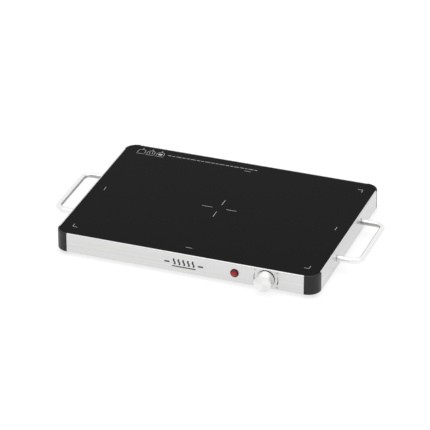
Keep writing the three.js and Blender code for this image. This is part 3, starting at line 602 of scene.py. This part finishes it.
def inlet_holes():
    """The rear panel is turned round, so X runs the other way in it."""
    half_w, half_h = (size / 2 + GAP for size in INLET_BLOCK)
    low = (-INLET_X - half_w, -SHEET, MID_Z - half_h)
    window = bar(low, (-INLET_X + half_w, 2 * SHEET, MID_Z + half_h))
    return [window, *[panel_hole(side * INLET_SCREW_X - INLET_X, INLET_SCREW_HOLE_R) for side in (-1, 1)]]


def rails():
    """Four panels, each made like the front one and turned about the middle of the body."""
    long, short = FRONT[1].x - FRONT[0].x, RIGHT[1].y - RIGHT[0].y
    made = {
        "front": rail(long, panel_hole(LAMP_X, LENS_BARREL_R + GAP), panel_hole(KNOB_X, BUSH_HOLE_R)),
        "right": rail(short, *handle_holes()),
        "rear": rail(long, *inlet_holes()),
        "left": rail(short, *handle_holes()),
    }
    for quarter, (side, bm) in enumerate(made.items()):
        depth = (HALF_D, HALF_W)[quarter % 2]
        turned = at(0, CENTRE_Y, 0, 90 * quarter) @ at(0, -depth, 0)
        finish = (FINISHES["brushed_steel"], SIDE_STEEL)[quarter % 2]
        piece(f"{side}_panel", moved(bm, turned), finish, "tray", f"{side}_rail", slot="brushed_steel")


def corner_cap():
    """The front left cap about its corner's centre: a turned wall with the foot's pad and boss,
    a rib, and a tongue into each rail."""
    flange_reach, steps = CORNER_R - 2 * MM, 32
    rings = []
    for i in range(steps + 1):
        angle = math.pi * (1 + i / steps / 2)
        rings.append([
            ((CORNER_R - inset) * math.cos(angle), (CORNER_R - inset) * math.sin(angle), z)
            for inset, z in wall_section(CAP_WALL, CAP_LEDGE_T, flange_reach)
        ])
    ledge_low = TOP_Z - LEDGE_DROP - CAP_LEDGE_T
    pan_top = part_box("base_pan")[1].z + GAP
    pad_r, boss_r, bore_top = 11 * MM, 5 * MM, 25.3 * MM
    pad = lathe([(pad_r, BOTTOM_Z), (pad_r, BOTTOM_Z + SHEET)], 64)
    boss = lathe([(boss_r, pan_top), (boss_r, ledge_low)], 48)
    bore = lathe([(FOOT_BORE_R, 0), (FOOT_BORE_R, bore_top)], 32)
    rib_reach, rib_half = CORNER_R - CAP_WALL + MM, 1.25 * MM
    rib = spun(bar((-rib_reach, -rib_half, pan_top), (0, rib_half, ledge_low + MM)), 45)
    tongue_t, tongue_root, tongue_end, tongue_low, tongue_high = 2 * MM, 3 * MM, 12 * MM, 14 * MM, 38 * MM
    near = SHEET + GAP - CORNER_R
    far = near + tongue_t
    along_x = bar((-tongue_root, near, tongue_low), (tongue_end, far, tongue_high))
    along_y = bar((near, -tongue_root, tongue_low), (far, tongue_end, tongue_high))
    whole = boolean("UNION", loft(rings), pad, boss, rib, along_x, along_y)
    return boolean("DIFFERENCE", whole, bore)


def corner_caps():
    cap = corner_cap()
    for quarter, (name, (sx, sy)) in enumerate(CORNERS.items()):
        place = at(sx * CORNER_X, CENTRE_Y + sy * CORNER_Y, 0, 90 * quarter)
        piece(f"cap_{name}", cap.copy(), FINISHES["black_plastic"], "tray", f"corner_cap_{name}",
              slot="black_plastic", place=place)
    cap.free()


# ------------------------------------------------------------ handles and feet
def handle():
    """The right bar: rings along its centre line, with a plain bore for the screw up each leg."""
    bend, bore_depth, chamfer, steps = 18 * MM, 14 * MM, 0.5 * MM, 24
    root = HANDLE[0].x
    grip = HANDLE[1].x - HANDLE_R
    leg = [
        (root + bore_depth, HANDLE_BORE_R), (root, HANDLE_BORE_R), (root, HANDLE_R - chamfer),
        (root + chamfer, HANDLE_R),
    ]
    line = [((x, -HANDLE_LEG_Y), 0, r) for x, r in leg]
    for side, start in ((-1, -90), (1, 0)):
        curve = arc(grip - bend, side * (HANDLE_LEG_Y - bend), bend, start, start + 90, steps)
        for i, point in enumerate(curve):
            line.append((point, math.radians(start + 90 * (i / steps + 1)), HANDLE_R))
    line += [((x, HANDLE_LEG_Y), math.pi, r) for x, r in reversed(leg)]
    rings = []
    for (x, y), heading, r in line:
        across = Vector((-math.sin(heading), math.cos(heading), 0))
        centre = Vector((x, y, MID_Z))
        rings.append([centre + across * p.x + Vector((0, 0, p.y)) for p in circle(r, 0, 48)])
    return loft(rings)


def handles():
    for name, turn in (("right", 0), ("left", 180)):
        piece(f"bar_{name}", handle(), FINISHES["handle_steel"], "tray", f"handle_{name}",
              slot="handle_steel", place=at(0, CENTRE_Y, 0, turn))


def feet():
    """Rubber feet with a rounded tread, a groove round the side and a recess for the screw."""
    top = FOOT[1].z
    r = (FOOT[1].x - FOOT[0].x) / 2
    tread_r, tread_round, top_round, ease = r - MM, 0.8 * MM, 0.6 * MM, 0.3 * MM
    groove_r, groove_low, groove_high = tread_r + 0.1 * MM, 3.5 * MM, 3.9 * MM
    recess_r, recess = 4.3 * MM, 4 * MM
    profile = [
        (recess_r, ease), (recess_r + ease, 0),
        *arc(tread_r - tread_round, tread_round, tread_round, 270, 360, 5),
        (tread_r + 0.45 * MM, groove_low - ease), (groove_r, groove_low), (groove_r, groove_high),
        (tread_r + 0.6 * MM, groove_high + ease), *arc(r - top_round, top - top_round, top_round, 0, 90, 4),
        (FOOT_BORE_R, top), (FOOT_BORE_R, recess), (recess_r, recess),
    ]
    for name in CORNERS:
        low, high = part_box(f"foot_{name}")
        place = at((low.x + high.x) / 2, (low.y + high.y) / 2, 0)
        piece(f"rubber_foot_{name}", lathe(profile, 64, loop=True), FINISHES["rubber"], "tray",
              f"foot_{name}", slot="rubber", place=place)


# ------------------------------------------------------------ knob and lamp
KNOB_PLACE = at(KNOB_X, FRONT_Y, MID_Z) @ OUT_OF_FRONT
LAMP_PLACE = at(LAMP_X, FRONT_Y, MID_Z) @ OUT_OF_FRONT
OFF_ANGLE = 55.0  # the knob's pointer and the dial's 0, anticlockwise from the top


def fluted(r, z, depth):
    """A ring of points with shallow round flutes cut in it; a plain ring if the depth is 0."""
    flutes, per_flute = 60, 6
    points = []
    for i in range(flutes * per_flute):
        share = i / per_flute
        angle = 2 * math.pi * share / flutes
        here = r - depth * math.sin(math.pi * (share % 1)) ** 2
        points.append(Vector((here * math.cos(angle), here * math.sin(angle), z)))
    return points


def knob_shell():
    """The turned shell: a fluted grip between plain bands, a chamfer, a raised ring round the dished
    face, and the pointer's groove."""
    r = (KNOB_CAP[1].x - KNOB_CAP[0].x) / 2
    low, front = FRONT_Y - KNOB_CAP[1].y, FRONT_Y - KNOB_CAP[0].y
    wall, chamfer, flute, fade, ease, dish = 1.5 * MM, 1.1 * MM, 0.14 * MM, 0.3 * MM, 0.2 * MM, 0.15 * MM
    grip_low, grip_high = low + 2.2 * MM, front - chamfer - 1.4 * MM
    face_r, core_r, overlap = r - chamfer, 2 * MM, 0.1 * MM
    profile = [
        (r - wall, low, 0), (r - ease, low, 0), (r, low + ease, 0), (r, grip_low - fade, 0),
        (r, grip_low, flute), (r, grip_high, flute), (r, grip_high + fade, 0), (r, front - chamfer, 0),
        (r - 0.15 * MM, front - chamfer + 0.12 * MM, 0), (face_r - 0.1 * MM, front - 0.08 * MM, 0),
        (face_r - 0.35 * MM, front, 0), (face_r - 0.6 * MM, front - 0.04 * MM, 0),
        (face_r - 1.0 * MM, front - dish, 0), (core_r, front - dish, 0), (core_r, front - wall, 0),
        (r - wall, front - wall, 0),
    ]
    shell = loft([fluted(*ring) for ring in profile], loop=True)
    core = lathe([(core_r + overlap, front - wall), (core_r + overlap, front - dish)])
    groove_half, groove_length, groove_depth = 0.55 * MM, 7.5 * MM, 0.45 * MM
    low_end = (-groove_half, r - groove_length, front - dish - groove_depth)
    groove = spun(bar(low_end, (groove_half, r + MM, front + MM)), OFF_ANGLE)
    shell = boolean("DIFFERENCE", boolean("UNION", shell, core), groove)
    piece("knob_shell", shell, FINISHES["knob_metal"], "knob", "knob_cap", slot="knob_metal",
          place=KNOB_PLACE)


def knob_core():
    """The moulded core: a flange that shows as a dark ring behind the shell, and the shaft's bore."""
    flange_r = (KNOB_HUB[1].x - KNOB_HUB[0].x) / 2
    low, top = FRONT_Y - KNOB_HUB[1].y, FRONT_Y - KNOB_HUB[0].y
    flange_top = FRONT_Y - KNOB_CAP[1].y - GAP
    low_ease, top_ease = 0.4 * MM, 0.3 * MM
    core_r, pocket_r, pocket_top, bore_r = 16.1 * MM, 10 * MM, 6 * MM, 3.3 * MM
    core = lathe([
        (pocket_r, low), (flange_r - low_ease, low), (flange_r, low + low_ease),
        (flange_r, flange_top - top_ease), (flange_r - top_ease, flange_top), (core_r, flange_top),
        (core_r, top), (bore_r, top), (bore_r, pocket_top), (pocket_r, pocket_top),
    ], loop=True)
    piece("knob_core", core, FINISHES["black_plastic"], "knob", "knob_hub", slot="black_plastic",
          place=KNOB_PLACE)


def lamp_lens():
    """A stepped lens: flange, ring groove and dome in front, barrel behind the panel."""
    r = (LENS[1].x - LENS[0].x) / 2
    top = FRONT_Y - LENS[0].y
    dome_r, dome_h, bore_r, barrel = 7.3 * MM, 3.8 * MM, 5 * MM, 12 * MM
    ease, edge_round, steps = 0.2 * MM, 0.6 * MM, 20
    base = top - dome_h
    sphere_r = (dome_r * dome_r + dome_h * dome_h) / (2 * dome_h)
    edge = math.degrees(math.asin(dome_r / sphere_r))
    dome = arc(0, top - sphere_r, sphere_r, 90 - edge, 90, steps)[1:-1]
    lens = lathe([
        (bore_r, 0), (bore_r, -barrel), (LENS_BARREL_R, -barrel), (LENS_BARREL_R, GAP), (r - ease, GAP),
        (r, GAP + ease), *arc(r - edge_round, base - edge_round, edge_round, 0, 90, 6),
        (dome_r + 0.25 * MM, base), (dome_r + 0.1 * MM, base - 0.3 * MM),
        (dome_r - 0.1 * MM, base + 0.05 * MM), *dome,
    ])
    piece("lamp_jewel", lens, FINISHES["red_lens"], "tray", "lamp_lens", slot="red_lens", place=LAMP_PLACE)


# ------------------------------------------------------------ mains inlet on the rear panel
INLET_PLACE = at(INLET_X, REAR_Y, MID_Z) @ OUT_OF_REAR


def inlet_socket():
    """A flanged block with a mouth for the lead's connector, three pin slots and two screw holes."""
    flange_w, flange_h = INLET[1].x - INLET[0].x, INLET[1].z - INLET[0].z
    flange_round, block_round, mouth_round, lip = 4 * MM, 2 * MM, 3 * MM, 0.5 * MM
    block_depth, mouth_w, mouth_h, mouth_depth = 22 * MM, 24 * MM, 16.4 * MM, 18 * MM
    outside = INLET_MOUTH + 9 * MM
    flange = slab(rounded_rect(flange_w, flange_h, flange_round), GAP, INLET_MOUTH, lip)
    block = slab(rounded_rect(*INLET_BLOCK, block_round), -block_depth, GAP + MM)
    socket = slab(rounded_rect(mouth_w, mouth_h, mouth_round), INLET_MOUTH - mouth_depth, outside)
    flared = rounded_rect(mouth_w + 2 * lip, mouth_h + 2 * lip, mouth_round + lip)
    lead_in = slab(flared, INLET_MOUTH - lip, outside, lip - 0.01 * MM)
    pin_half_w, pin_half_h = 1.3 * MM, 2.3 * MM
    holes = []
    for x, y in ((-7 * MM, -1.8 * MM), (7 * MM, -1.8 * MM), (0, 3.6 * MM)):
        low = (x - pin_half_w, y - pin_half_h, -30 * MM)
        holes.append(bar(low, (x + pin_half_w, y + pin_half_h, 0)))
    for side in (-1, 1):
        hole = lathe([(INLET_SCREW_HOLE_R, -MM), (INLET_SCREW_HOLE_R, outside)], 32)
        holes.append(shifted(hole, side * INLET_SCREW_X, 0, 0))
    body = boolean("UNION", flange, block)
    body = boolean("DIFFERENCE", body, socket, lead_in, *holes)
    piece("inlet_socket", body, FINISHES["black_plastic"], "tray", "inlet_housing", slot="black_plastic",
          place=INLET_PLACE)


def inlet_fixings():
    """Two screws with a domed head and a cross recess."""
    neck = INLET_MOUTH + GAP
    head_r, head_t, head_edge, dome_r = 2.7 * MM, 1.4 * MM, 0.45 * MM, 4 * MM
    shank_r, length, tip, tip_r = 1.5 * MM, 12 * MM, 1 * MM, 0.4 * MM
    cross_reach, cross_half, cross_floor = 1.5 * MM, 0.3 * MM, neck + 0.4 * MM
    for name, side in (("left", 1), ("right", -1)):
        screw = lathe([
            (tip_r, neck - length), (shank_r, neck - length + tip), (shank_r, neck), (head_r, neck),
            (head_r, neck + head_edge), *arc(0, neck + head_t - dome_r, dome_r, 52, 86, 8),
        ], 48)
        cross = []
        for turn in (45, 135):
            low = (-cross_reach, -cross_half, cross_floor)
            cross.append(spun(bar(low, (cross_reach, cross_half, neck + 2 * head_t)), turn))
        screw = boolean("DIFFERENCE", screw, *cross)
        piece(f"inlet_fixing_{name}", shifted(screw, side * INLET_SCREW_X, 0, 0), FINISHES["zinc_plate"],
              "tray", f"inlet_screw_{name}", slot="zinc_plate", place=INLET_PLACE)


# ------------------------------------------------------------ prints, with their sizes in mm
GLASS_PLACE = at(0, CENTRE_Y, GLASS[1].z)


def stroke(points, width, end_width=None):
    """A flat line of ink with mitred corners and a width that may change to its end."""
    line = [Vector(p) * MM for p in points]
    headings = [(far - near).normalized() for near, far in zip(line, line[1:])]
    last = len(line) - 1
    rings = []
    for i, here in enumerate(line):
        a, b = headings[max(i - 1, 0)], headings[min(i, last - 1)]
        side = Vector((-a.y - b.y, a.x + b.x)) / (1 + a.dot(b))
        half = (width + ((end_width or width) - width) * i / last) / 2 * MM
        near, far = here - side * half, here + side * half
        rings.append([(*near, -INK_SINK), (*far, -INK_SINK), (*far, INK_T), (*near, INK_T)])
    return loft(rings)


def printed(name, strokes, finish, place):
    whole = bmesh.new()
    for bm in strokes:
        mesh = bpy.data.meshes.new("stroke")
        bm.to_mesh(mesh)
        bm.free()
        whole.from_mesh(mesh)
        bpy.data.meshes.remove(mesh)
    piece(name, whole, finish, "tray", place=place)


def digits(text, height, x, y):
    """Numbers in the plain built-in typeface, centred on a point."""
    digit_share = 0.7  # height of a digit as a share of the type's size
    curve = bpy.data.curves.new("digits", "FONT")
    curve.body = text
    curve.size = height * MM / digit_share
    curve.align_x = "CENTER"
    curve.align_y = "CENTER"
    curve.extrude = (INK_T + INK_SINK) / 2
    obj = bpy.data.objects.new("digits", curve)
    scene.collection.objects.link(obj)
    depsgraph = bpy.context.evaluated_depsgraph_get()
    mesh = bpy.data.meshes.new_from_object(obj.evaluated_get(depsgraph))
    bm = bmesh.new()
    bm.from_mesh(mesh)
    bpy.data.meshes.remove(mesh)
    bpy.data.objects.remove(obj)
    bmesh.ops.remove_doubles(bm, verts=bm.verts[:], dist=1e-7)
    return shifted(bm, x * MM, y * MM, (INK_T - INK_SINK) / 2)


def wave(x, y, height, swing):
    """A rising heat wave."""
    steps = 24
    shares = [i / steps for i in range(steps + 1)]
    return [(x + swing * math.sin(2 * math.pi * share), y + height * share) for share in shares]


def glass_marks():
    """A cross in the middle, a short mark at the middle of each side, and three corner marks."""
    width, cross_in, cross_out, cross_y = 1.1, 15, 37, -1.4
    strokes = []
    for dx, dy in ((1, 0), (0, 1), (-1, 0), (0, -1)):
        ends = [(reach * dx, reach * dy + cross_y) for reach in (cross_in, cross_out)]
        strokes.append(stroke(ends, width))
    half, side_x, side_low, side_high = 7, 249.5, -7.5, 5.5
    for y in (-176, 170):
        strokes.append(stroke([(-half, y), (half, y)], width))
    for x in (-side_x, side_x):
        strokes.append(stroke([(x, side_low), (x, side_high)], width))
    corner_x, corner_y, leg, bend = 250.5, 173.5, 10.5, 2.5
    corner = [(0, leg), *arc(bend, bend, bend, 180, 270, 6), (leg, 0)]
    for sx, sy in ((-1, -1), (1, -1), (1, 1)):
        strokes.append(stroke([(sx * (corner_x - x), sy * (corner_y - y)) for x, y in corner], width))
    printed("glass_marks", strokes, GLASS_INK, GLASS_PLACE)


def glass_pictograms():
    """Three dish covers at the rear left: an empty one, one with heat waves and one with a bar."""
    y, width, dome_r, dome_y, base_half = 168, 0.9, 8, 12, 9
    strokes = []
    for x, inside in ((-238.5, "empty"), (-217.5, "waves"), (-196.5, "bar")):
        dome = arc(x, y + dome_y, dome_r, 180, 0, 24)
        strokes.append(stroke([(x - dome_r, y + 5), *dome, (x + dome_r, y + 5)], width))
        strokes.append(stroke([(x - base_half, y + 1), (x + base_half, y + 1)], width))
        strokes.append(stroke([(x, y + 21), (x, y + 25)], 2 * width))
        if inside == "waves":
            strokes += [stroke(wave(x + dx, y + 6, 9, 0.7), width) for dx in (-3, 3)]
        elif inside == "bar":
            strokes.append(stroke([(x - 4, y + 10), (x + 4, y + 10)], 7))
    printed("glass_pictograms", strokes, GLASS_INK, GLASS_PLACE)


def glass_dashes():
    """A row of dashes of uneven length along the rear edge."""
    x, end, y, width, gap, shortest, spread = -180.0, 18.0, 180, 1.6, 2.4, 3, 8
    strokes = []
    while x < end:
        length = shortest + spread * abs(math.sin(2.1 * len(strokes) + 0.6))
        strokes.append(stroke([(x, y), (min(x + length, end), y)], width))
        x += length + gap
    printed("glass_dashes", strokes, GLASS_INK, GLASS_PLACE)


def dial_print():
    """Four numbers round the knob and a tapered arc on each side of it."""
    number_r, number_height, last_angle = 28.5, 3.3, 125
    strokes = []
    for text, degrees in (("0", OFF_ANGLE), ("60", -OFF_ANGLE), ("90", -last_angle), ("120", last_angle)):
        angle = math.radians(90 + degrees)
        strokes.append(digits(text, number_height, number_r * math.cos(angle), number_r * math.sin(angle)))
    scale_r, reach, thin, thick = 25.0, 22, 0.5, 2.4
    strokes.append(stroke(arc(0, 0, scale_r, reach, -reach, 24), thin, end_width=thick))
    strokes.append(stroke(arc(0, 0, scale_r, 180 + reach, 180 - reach, 24), thick, end_width=thin))
    printed("dial_print", strokes, PANEL_INK, KNOB_PLACE)


def heat_sign():
    """A plain heat sign in the middle of the panel: five waves over a line, between two bars."""
    low, height, swing, wave_width = -4.5, 12.5, 1.4, 3.5
    line_y, line_half, line_width = -8.4, 25, 2.4
    bar_y, bar_in, bar_out, bar_width = -0.4, 30, 41, 3.4
    strokes = [stroke(wave(x, low, height, swing), wave_width) for x in (-20, -10, 0, 10, 20)]
    strokes.append(stroke([(-line_half, line_y), (line_half, line_y)], line_width))
    for side in (-1, 1):
        strokes.append(stroke([(side * bar_in, bar_y), (side * bar_out, bar_y)], bar_width))
    printed("heat_sign", strokes, PANEL_INK, at(0, FRONT_Y, MID_Z) @ OUT_OF_FRONT)


# ------------------------------------------------------------ studio
def aimed(name, data, target, azimuth, elevation, distance):
    """A camera or a light that faces a target from angles in degrees; azimuth 0 is the front."""
    a, e = math.radians(azimuth), math.radians(elevation)
    away = Vector((math.sin(a) * math.cos(e), -math.cos(a) * math.cos(e), math.sin(e)))
    obj = bpy.data.objects.new(name, data)
    obj.location = target + away * distance
    obj.rotation_euler = away.to_track_quat("Z", "Y").to_euler()
    scene.collection.objects.link(obj)
    return obj


def camera():
    """The photo's viewpoint."""
    data = bpy.data.cameras.new("camera")
    data.lens = 261.8
    data.sensor_width = 36.0
    target = Vector((-0.0111, 0.0142, 0.0288))
    scene.camera = aimed("camera", data, target, azimuth=20.087, elevation=28.608, distance=6.368)


def softbox(name, azimuth, elevation, distance, size, radiance):
    """A square area light aimed at the tray, given by the brightness of its face."""
    data = bpy.data.lights.new(name, "AREA")
    data.size = size
    data.energy = radiance * math.pi * size * size
    aimed(name, data, Vector((0, 0, 0)), azimuth, elevation, distance)


def studio_floor():
    """A matte floor with a glow of its own, so that the shadows on it stay faint."""
    half_width, own_light = 20, 0.70
    bm = bmesh.new()
    bmesh.ops.create_grid(bm, x_segments=4, y_segments=4, size=half_width)
    mesh = bpy.data.meshes.new("studio_floor")
    bm.to_mesh(mesh)
    bm.free()
    floor = Finish("studio_floor", (0.32, 0.32, 0.32), Roughness=0.95, Specular_IOR_Level=0.0)
    floor.feed(floor.shader, Emission_Color=(1, 1, 1, 1), Emission_Strength=own_light)
    floor.tint(floor.noise(0.7), 0.985, 1.0)
    mesh.materials.append(floor.material)
    obj = bpy.data.objects.new("studio_floor", mesh)
    scene.collection.objects.link(obj)


def surroundings():
    """White surroundings that are dimmer at the horizon and below, which gives the bars soft edges."""
    world = bpy.data.worlds.new("studio")
    scene.world = world
    world.use_nodes = True
    nodes, links = world.node_tree.nodes, world.node_tree.links
    direction = nodes.new("ShaderNodeSeparateXYZ")
    links.new(nodes.new("ShaderNodeTexCoord").outputs["Generated"], direction.inputs[0])
    rise = nodes.new("ShaderNodeMapRange")
    rise.interpolation_type = "SMOOTHSTEP"
    links.new(direction.outputs["Z"], rise.inputs["Value"])
    for socket, value in {"From Min": 0.06, "From Max": 0.22, "To Min": 0.82, "To Max": 1.04}.items():
        rise.inputs[socket].default_value = value
    nodes["Background"].inputs["Color"].default_value = (1, 1, 1, 1)
    links.new(rise.outputs[0], nodes["Background"].inputs["Strength"])


def studio():
    studio_floor()
    surroundings()
    softbox("overhead", azimuth=0, elevation=90, distance=2.4, size=1.6, radiance=1.5)
    softbox("front_left", azimuth=-35, elevation=55, distance=3.0, size=1.0, radiance=1.5)
    softbox("front_right", azimuth=75, elevation=50, distance=3.0, size=1.0, radiance=1.5)
    scene.view_settings.view_transform = "Standard"
    camera()


finish_cad_nodes()
glass_top()
rails()
corner_caps()
handles()
feet()
knob_shell()
knob_core()
lamp_lens()
inlet_socket()
inlet_fixings()
glass_marks()
glass_pictograms()
glass_dashes()
dial_print()
heat_sign()
studio()
